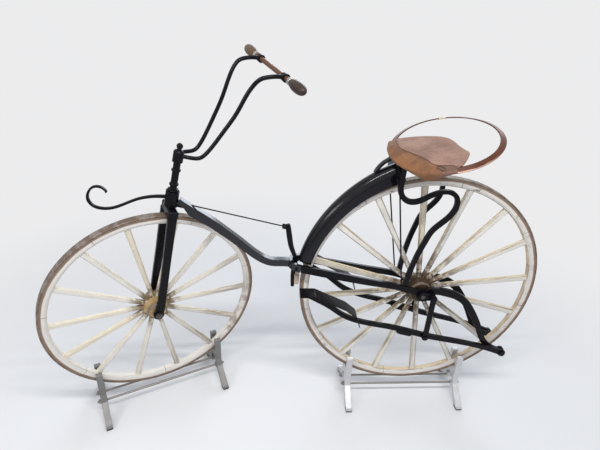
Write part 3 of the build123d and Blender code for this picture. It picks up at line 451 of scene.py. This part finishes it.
def spoke_paint(name, wheel):
    """Painted wooden spokes, each a little different, with grain along them and grease by the hub"""
    s = Shader(name)
    reach, angle, along = s.around(wheel)
    turns = s.math("DIVIDE", s.minus(angle, wheel["first_spoke"]), 2 * pi / wheel["spokes"])
    own = s.tree.nodes.new("ShaderNodeTexWhiteNoise")
    own.noise_dimensions = "1D"
    s.plug(own.inputs["W"], s.math("FLOOR", s.plus(turns, 0.5)))
    grain = s.grain((reach, angle, along), (9, 150, 260), 6, 0.62)
    patches = s.noise(17, 6, 0.6)
    older = s.times(s.rise(own.outputs["Value"], 0.62, 0.90), 0.6)
    cream = s.mix(older, s.mix(patches, *SPOKE_CREAM), OLD_CREAM)
    colour = paint_with_shade(s, wheel, cream, wheel["spoke_side_shade"], grain)
    near_hub = s.fall(s.plus(reach, s.times(patches, 0.08)), 0.10, wheel["grease_to"])
    grease = s.times(s.rise(s.noise(34, 8, 0.72), 0.38, 0.56), s.plus(0.12, near_hub))
    # Darker towards the wheel's lower rear, in the grease colour, patchy with the grain
    [height] = s.local(wheel["center"], SPOKES_LIGHTER_WAY)
    lower_rear_dark = s.times(s.fall(height, -0.30, 0.0), wheel["lower_rear_dark"], s.rise(grain, 0.32, 0.62))
    s.feed("Base Color", s.mix(s.most(grease, lower_rear_dark), colour, wheel["grease"]))
    s.feed("Roughness", s.ramp(grain, (0.30, 0.40), (0.70, 0.66)))
    s.relief(grain, 0.35, 0.0008, 0.0015)
    return s.material


def rim_paint(name, wheel):
    """Felloes in worn whitish paint, brown by the tyre, with thin joints between them"""
    s = Shader(name)
    reach, angle, along = s.around(wheel)
    grain = s.grain((reach, angle, along), (230, 7, 200), 7, 0.65)
    patches = s.noise(15, 7, 0.65)
    colour = paint_with_shade(s, wheel, s.mix(patches, *RIM_WHITE), wheel["felloe_side_shade"], grain)
    outside = wheel["radius"] - TYRE_THICK
    by_tyre = s.rise(s.plus(reach, s.times(patches, 0.008)), outside - 0.0075, outside - 0.0035)
    bare = s.rise(s.noise(27, 8, 0.72), wheel["bare_from"], wheel["bare_from"] + 0.08)
    # Darker towards the wheel's lower rear, in the bare wood's colour, in patches
    [height] = s.local(wheel["center"], RIM_LIGHTER_WAY)
    lower_rear_dark = s.times(s.fall(height, -0.40, -0.28), wheel["lower_rear_dark"], s.rise(patches, 0.42, 0.56))
    colour = s.mix(s.most(s.most(by_tyre, bare), lower_rear_dark), colour, RIM_WOOD)
    turns = s.times(angle, wheel["felloes"] / (2 * pi))
    from_joint = s.math("ABSOLUTE", s.minus(s.math("FRACT", s.plus(turns, 0.27)), 0.5))
    joint = s.fall(from_joint, 0.0012, 0.0032)
    s.feed("Base Color", s.mix(joint, colour, FELLOE_JOINT))
    s.feed("Roughness", s.ramp(patches, (0.3, 0.45), (0.7, 0.70)))
    s.relief(s.minus(grain, joint), 0.4, 0.0009, 0.0015)
    return s.material


def hub_paint(name, wheel):
    """Turned wooden hub, bare wood under what is left of its paint"""
    s = Shader(name)
    rings = s.grain(s.around(wheel), (260, 1.4, 260), 5, 0.6)
    painted = s.times(s.rise(s.noise(40, 7, 0.7), 0.55, 0.66), wheel["hub_paint"])
    wood = s.mix(painted, s.mix(rings, *wheel["hub_wood"]), HUB_CREAM)
    s.feed("Base Color", s.mix(s.rise(s.noise(60, 8, 0.7), 0.58, 0.68), wood, HUB_DIRT))
    s.feed("Roughness", 0.5)
    s.feed("Specular IOR Level", 0.25)
    s.relief(rings, 0.4, 0.0008, 0.0015)
    return s.material


def tyre_iron():
    """Iron of tyres and bands, grey-brown with rust in patches"""
    s = Shader("rusty_iron")
    blotch = s.noise(26, 8, 0.65)
    grit = s.noise(260, 4, 0.7)
    s.feed("Base Color", s.mix(s.rise(blotch, 0.46, 0.58), s.mix(grit, *RUST), TYRE_GREY))
    s.feed("Roughness", s.ramp(grit, (0.3, 0.42), (0.7, 0.72)))
    s.feed("Metallic", 0.35)
    s.relief(grit, 0.4, 0.0006, 0.001)
    return s.material


def ring_finish():
    """Red-brown ring with a painted highlight along its outer edge"""
    s = Shader("ring_enamel")
    x, y = s.local(RING_AT, RING_X / RING_A, RING_Y / RING_B)
    clouds = s.noise(19, 6, 0.6)
    # Painted highlight: a bright, half-metallic band along the outer edge, on the side towards the front and left
    glint_side = s.rise(s.plus(s.times(x, 0.6), y), 0.25, 0.75)
    edge = s.times(glint_side, s.rise(s.plus(s.length(x, y), s.times(clouds, 0.03)), 1.046, 1.062))
    s.feed("Base Color", s.mix(edge, s.mix(clouds, *RING_RED), RING_GLINT))
    s.feed("Roughness", s.ramp(clouds, (0.3, 0.22), (0.7, 0.38)))
    s.feed("Metallic", s.times(edge, 0.5))
    s.feed("Specular IOR Level", 0.25)
    s.feed("Coat Weight", 0.12)
    s.feed("Coat Roughness", 0.12)
    s.relief(s.noise(90, 5), 0.15, 0.0008, 0.0015)
    return s.material


def leather(name, dark, light, deep, faded=None):
    """Old leather with pores, rubbed patches and fine creases; faded is its colour near the ring's middle"""
    s = Shader(name)
    clouds = s.noise(13, 7, 0.6)
    pores = s.noise(240.0, 5, 0.7)
    creases = s.noise(1.0, 4, 0.7, s.stretched((20, 46, 90)))
    tan = s.mix(s.rise(clouds, 0.34, 0.66), dark, light)
    if faded:
        [ahead] = s.local(RING_AT, RING_X)
        tan = s.mix(s.rise(s.plus(ahead, s.times(clouds, 0.03)), 0.085, 0.120), faded, tan)
    lines = s.fall(s.math("ABSOLUTE", s.minus(creases, 0.5)), 0.004, 0.022)
    marks = s.times(s.most(s.times(lines, 0.55), s.rise(pores, 0.58, 0.74)), 0.75)
    s.feed("Base Color", s.mix(marks, tan, deep))
    s.feed("Roughness", s.ramp(pores, (0.3, 0.55), (0.7, 0.75)))
    s.feed("Sheen Weight", 0.15)
    folds = s.times(s.noise(1.0, 4, 0.6, s.stretched((26, 60, 60))), 2.5)
    height = s.minus(s.plus(s.times(pores, 0.30), folds), s.times(lines, 0.5))
    s.relief(height, 0.50, 0.0011)
    return s.material


def plain(name, dark, light, roughness, metallic=0.0, scale=60.0, relief=0.25, edge=0.0015):
    """One mottled finish between two close colours, with patches of a scale and a fine relief"""
    s = Shader(name)
    clouds = s.noise(scale, 6, 0.6)
    s.feed("Base Color", s.mix(clouds, dark, light))
    s.feed("Roughness", s.ramp(clouds, (0.3, roughness * 0.8), (0.7, min(1.0, roughness * 1.25))))
    s.feed("Metallic", metallic)
    s.feed("Specular IOR Level", 0.5 if metallic else 0.22)
    s.relief(s.noise(scale * 4, 4), relief, 0.0006, edge)
    return s.material


def cast_metal(name, dark, light, roughness, metallic):
    """Plain finish of a rough casting with soft edges"""
    return plain(name, dark, light, roughness, metallic, scale=34, relief=0.4, edge=0.003)


def make_finishes():
    """Finish of each record slot, and of the nodes that need their own"""
    slots = {
        "black_iron": black_iron("black_iron", 0.004),
        "rusty_iron": tyre_iron(),
        "leather": leather("leather_top", (0.195, 0.098, 0.066), (0.300, 0.165, 0.116),
                           (0.110, 0.052, 0.033)),
        "dark_wood": plain("dark_wood", (0.016, 0.010, 0.008), (0.060, 0.036, 0.028), 0.34, scale=30),
        "brown_wood": plain("brown_wood", (0.065, 0.027, 0.015), (0.16, 0.072, 0.038), 0.36, scale=34),
        "ring_enamel": ring_finish(),
        "cast_metal": cast_metal("cast_metal", (0.50, 0.50, 0.51), (0.70, 0.70, 0.71), 0.38, 0.55),
        "stand_steel": plain("stand_steel", (0.20, 0.18, 0.17), (0.34, 0.31, 0.29), 0.42, 0.8),
        "rubber": plain("rubber", (0.012, 0.012, 0.012), (0.03, 0.03, 0.03), 0.8),
        "worn_steel": plain("worn_steel", (0.30, 0.28, 0.26), (0.48, 0.45, 0.43), 0.40, 0.8),
    }
    own = {
        "backbone": black_iron("black_iron_backbone", 0.011, 0.90),
        "mudguard": black_iron("black_iron_sheet", 0.004, 0.45),
        "front_stand_ends": cast_metal("cast_metal_dull", (0.17, 0.165, 0.16), (0.28, 0.27, 0.265),
                                       0.5, 0.6),
        "grip_right": plain("grip_wood", (0.065, 0.038, 0.022), (0.17, 0.105, 0.062), 0.38, scale=40),
        "rear_axle": plain("dark_steel", *DARK_STEEL, 0.40, 0.8),
        "front_axle": plain("dark_steel", *DARK_STEEL, 0.40, 0.8),
    }
    for side, wheel in WHEELS.items():
        own[f"{side}_spokes"] = spoke_paint(f"painted_wood_{side}_spokes", wheel)
        own[f"{side}_rim"] = rim_paint(f"painted_wood_{side}_rim", wheel)
        own[f"{side}_hub"] = hub_paint(f"painted_wood_{side}_hub", wheel)
    return slots, own


def dress_nodes(slots, own):
    """Gives every CAD node its own finish or that of its record slot"""
    for part in frame["record"]["subparts"]:
        node = NODES[part["node"]]
        finish = own.get(part["node"]) or slots[part["material_slot"]]
        if not node.data.materials:
            node.data.materials.append(finish)
        for slot in node.material_slots:
            slot.material = finish


def make_floor():
    """Pale floor that shows the object's shadow and fades into the backdrop"""
    corners = [(x * FLOOR_HALF, y * FLOOR_HALF, 0) for x, y in ((-1, -1), (1, -1), (1, 1), (-1, 1))]
    mesh = bpy.data.meshes.new("floor")
    mesh.from_pydata(corners, [], [(0, 1, 2, 3)])
    floor = bpy.data.objects.new("floor", mesh)
    bpy.context.scene.collection.objects.link(floor)
    s = Shader("floor")
    s.feed("Base Color", FLOOR_GREY)
    s.feed("Roughness", 0.9)
    x, y = s.local(FLOOR_MIDDLE, Vector((1, 0, 0)), Vector((0, 1, 0)))
    rays = s.tree.nodes.new("ShaderNodeLightPath")
    far = s.times(rays.outputs["Is Camera Ray"], s.rise(s.length(x, y), FADE_FROM, FADE_TO))
    glow = s.tree.nodes.new("ShaderNodeEmission")
    glow.inputs["Color"].default_value = PALE
    blend = s.tree.nodes.new("ShaderNodeMixShader")
    s.plug(blend.inputs["Fac"], far)
    s.plug(blend.inputs[1], s.surface.outputs["BSDF"])
    s.plug(blend.inputs[2], glow.outputs["Emission"])
    s.plug(s.tree.nodes["Material Output"].inputs["Surface"], blend.outputs["Shader"])
    mesh.materials.append(s.material)


def curve_through(points, steps):
    """Smooth path through points, with a number of steps between each two"""
    path = []
    for i in range(len(points) - 1):
        before, start = points[max(i - 1, 0)], points[i]
        end, after = points[i + 1], points[min(i + 2, len(points) - 1)]
        for k in range(steps):
            t = k / steps
            path.append(0.5 * (2 * start + t * (end - before)
                               + t * t * (2 * before - 5 * start + 4 * end - after)
                               + t ** 3 * (3 * start - before - 3 * end + after)))
    return path + [points[-1]]


def add_piece(name, mesh, body, slot, *finishes):
    """Smooth-shaded object that rides on a body and takes the finishes given; its slot is not used"""
    for finish in finishes:
        mesh.materials.append(finish)
    for polygon in mesh.polygons:
        polygon.use_smooth = True
    piece = bpy.data.objects.new(name, mesh)
    bpy.context.scene.collection.objects.link(piece)
    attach(piece, body)
    return piece


def rounded(piece, width):
    """Rounds a hard piece's edges"""
    bevel = piece.modifiers.new("edges", "BEVEL")
    bevel.width = width
    bevel.segments = 2


def grid_mesh(name, rows, closed=False):
    """Mesh of a grid of points; closed joins each row's ends and caps the first and last row"""
    width = len(rows[0])
    faces = []
    for i in range(len(rows) - 1):
        for k in range(width if closed else width - 1):
            a, b = i * width + k, i * width + (k + 1) % width
            faces.append((a, b, b + width, a + width))
    if closed:
        faces.append(tuple(reversed(range(width))))
        faces.append(tuple(range((len(rows) - 1) * width, len(rows) * width)))
    mesh = bpy.data.meshes.new(name)
    mesh.from_pydata([tuple(point) for row in rows for point in row], [], faces)
    outward = bmesh.new()
    outward.from_mesh(mesh)
    bmesh.ops.recalc_face_normals(outward, faces=outward.faces)
    outward.to_mesh(mesh)
    outward.free()
    return mesh


def tube(name, points, radius, sides=10):
    """Round cord, rod or wire along a path"""
    rows = []
    for i, point in enumerate(points):
        ahead = (points[min(i + 1, len(points) - 1)] - points[max(i - 1, 0)]).normalized()
        across = ahead.cross(Vector((0, 0, 1) if abs(ahead.z) < 0.95 else (1, 0, 0))).normalized()
        over = across.cross(ahead)
        turns = [2 * pi * k / sides for k in range(sides)]
        rows.append([point + radius * (cos(turn) * across + sin(turn) * over) for turn in turns])
    return grid_mesh(name, rows, True)


def on_ring(a, b, h):
    """Point from the saddle ring's centre, in millimetres along, across and over its plane"""
    return RING_AT + (RING_X * a + RING_Y * b + RING_Z * h) / 1000


def seat_rows():
    """Grid of the seat's outer surface, crowned between its edges and creased a little"""
    rows = []
    for corners in SEAT_ROWS:
        edge, line, rim, hem = [Vector(corner) for corner in corners]
        middle = edge.lerp(line, 0.5)
        middle.z = SEAT_CROWN
        shoulder = line.lerp(rim, SHOULDER_AT)
        shoulder.z = line.z - SHOULDER_DROP
        rows.append([edge, middle, line, shoulder, rim, hem])
    across = [curve_through(row, ACROSS_STEPS) for row in rows]
    along = [curve_through([row[k] for row in across], ALONG_STEPS) for k in range(len(across[0]))]
    grid = []
    for i in range(len(along[0])):
        row = []
        for k, strip in enumerate(along):
            a, b, h = strip[i]
            share = min(1.0, k / 3) * (1.0 if k < SEAT_LINE else APRON_FOLDS)
            broad = noise.noise(Vector((a / BROAD_FOLD[0], b / BROAD_FOLD[1], 0.3)))
            fine = noise.noise(Vector((a / FINE_FOLD[0], b / FINE_FOLD[1], 2.1)))
            row.append(on_ring(a, b, h + FOLD_HEIGHT * (broad + 0.5 * fine) * share))
        grid.append(row)
    return grid


def make_seat(top, apron, dark):
    """Leather seat stretched over the ring's front, its golden apron below a dark line, a dark cord that paints
    the shadow under the top leather's edge
    """
    grid = seat_rows()
    mesh = grid_mesh("seat_leather", grid)
    width = len(grid[0]) - 1
    seat = add_piece("seat_leather", mesh, "frame", "leather", top, apron)
    for i in range(len(grid) - 1):
        for k in range(SEAT_LINE, width):
            mesh.polygons[i * width + k].material_index = 1
    thick = seat.modifiers.new("thickness", "SOLIDIFY")
    thick.thickness = SEAT_THICK
    thick.offset = -1
    smooth = seat.modifiers.new("smooth", "SUBSURF")
    smooth.levels = 1
    smooth.render_levels = 1
    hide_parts("saddle_leather")
    # Painted shadow: a dark cord along the top leather's edge stands for the shade under it
    shadow_cord = [row[SEAT_LINE] + RING_Z * SHADOW_CORD_RISE for row in grid]
    add_piece("seat_shadow_cord", tube("seat_shadow_cord", shadow_cord, SHADOW_CORD_R, 8), "frame", "leather", dark)
    lace = [on_ring(*point) for point in curve_through([Vector(point) for point in SEAT_LACE], 6)]
    add_piece("seat_lace", tube("seat_lace", lace, LACE_R, 8), "frame", "leather", dark)


def make_rim_wrap(finish):
    """Light strap wound round the far side of the ring"""
    half, thick = RING_WIDE / 2 * 1000 + STRAP_THICK, RING_THICK / 2 * 1000 + STRAP_THICK
    rows = []
    for degrees in range(STRAP_FROM, STRAP_TO + 1):
        out = Vector((cos(radians(degrees)), sin(radians(degrees))))
        row = []
        for w, t in ((-half, -thick), (half, -thick), (half, thick), (-half, thick)):
            reach = w * cos(RING_SLOPE) + t * sin(RING_SLOPE)
            rise = -w * sin(RING_SLOPE) + t * cos(RING_SLOPE)
            row.append(on_ring(out.x * (RING_A * 1000 + reach), out.y * (RING_B * 1000 + reach), rise))
        rows.append(row)
    add_piece("ring_wrap", grid_mesh("ring_wrap", rows, True), "frame", "leather", finish)


def in_yoke(x, y, z):
    """Point from the yoke's middle, in millimetres forward, to the left and up"""
    return YOKE_AT + Vector((x, y, z)) / 1000


def side_bar(name, line, half, middle=0.0):
    """Flat bar upright in the middle plane; each point is forward and up of the yoke, and a depth"""
    path = curve_through([Vector(point) for point in line], 6)
    rows = []
    for i, (x, z, depth) in enumerate(path):
        ahead = path[min(i + 1, len(path) - 1)] - path[max(i - 1, 0)]
        over = Vector((-ahead.y, ahead.x)).normalized() * depth / 2
        rows.append([in_yoke(x + end * over.x, middle + side * half, z + end * over.y)
                     for end, side in ((1, -1), (1, 1), (-1, 1), (-1, -1))])
    return grid_mesh(name, rows, True)


def make_brake(iron, wood):
    """Brake lever standing in the yoke, its rod and clevis, and the wood block over the rear tyre"""
    def add_iron(name, mesh, edges):
        """Iron piece of the brake with its edges rounded"""
        rounded(add_piece(name, mesh, "frame", "black_iron", iron), edges)

    add_iron("brake_lever", side_bar("brake_lever", BRAKE_LINE, BRAKE_HALF), 0.0025)
    for name, side in (("brake_clevis_left", 1), ("brake_clevis_right", -1)):
        middle = side * (BRAKE_HALF + CLEVIS_HALF + CLEVIS_GAP)
        add_iron(name, side_bar(name, CLEVIS_LINE, CLEVIS_HALF, middle), 0.001)
    for name, (x, z), reach, radius in BRAKE_PINS:
        ends = [in_yoke(x, side * reach, z) for side in (-1, 1)]
        add_iron(name, tube(name, ends, radius / 1000, 16), 0.001)
    rod = tube("brake_rod", [in_yoke(x, 0, z) for x, z in ROD_LINE], ROD_R)
    add_piece("brake_rod", rod, "frame", "black_iron", iron)
    rows = []
    for k in range(SHOE_STEPS + 1):
        z = SHOE_LOW + (SHOE_TOP - SHOE_LOW) * k / SHOE_STEPS
        up = YOKE_AT.z - REAR_CENTER.z + z / 1000
        back = (((REAR_R + SHOE_CLEAR) ** 2 - up ** 2) ** 0.5 - YOKE_AT.x) * 1000
        rows.append([in_yoke(back, -SHOE_HALF, z), in_yoke(SHOE_FRONT, -SHOE_HALF, z),
                     in_yoke(SHOE_FRONT, SHOE_HALF, z), in_yoke(back, SHOE_HALF, z)])
    shoe = grid_mesh("brake_shoe", rows, True)
    rounded(add_piece("brake_shoe", shoe, "frame", "brown_wood", wood), 0.002)


def make_ferrules(steel):
    """Collar round the bar at the inner end of each grip"""
    ends = {}
    for side in ("left", "right"):
        low, high = [Vector(corner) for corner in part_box(f"grip_{side}")]
        ends[side] = (low + high) / 2
    middle = (ends["left"] + ends["right"]) / 2
    for side, end in ends.items():
        name = f"grip_ferrule_{side}"
        along = (end - middle).normalized()
        collar = [middle + along * (GRIP_FROM - back) for back in (FERRULE_LONG, -FERRULE_LAP)]
        rounded(add_piece(name, tube(name, collar, FERRULE_R, 28), "steering", "worn_steel", steel), 0.002)


make_camera()
make_world()
make_lights()
make_floor()
SLOTS, OWN = make_finishes()
dress_nodes(SLOTS, OWN)
APRON = leather("leather_apron", (0.115, 0.043, 0.013), (0.235, 0.096, 0.028), (0.05, 0.020, 0.009),
                faded=(0.150, 0.072, 0.045))
# Dark leather for the painted shadow cord along the seat's edge and for the lace
SHADOW_AND_LACE_LEATHER = leather("leather_shadow_and_lace", (0.05, 0.025, 0.018), (0.10, 0.05, 0.035), (0.03, 0.015, 0.01))
STRAP = leather("leather_strap", (0.52, 0.42, 0.30), (0.70, 0.60, 0.46), (0.30, 0.22, 0.14))
PALE_WOOD = plain("pale_wood", (0.42, 0.30, 0.22), (0.62, 0.48, 0.38), 0.7, scale=40)
make_seat(SLOTS["leather"], APRON, SHADOW_AND_LACE_LEATHER)
make_rim_wrap(STRAP)
make_brake(SLOTS["black_iron"], PALE_WOOD)
make_ferrules(SLOTS["worn_steel"])
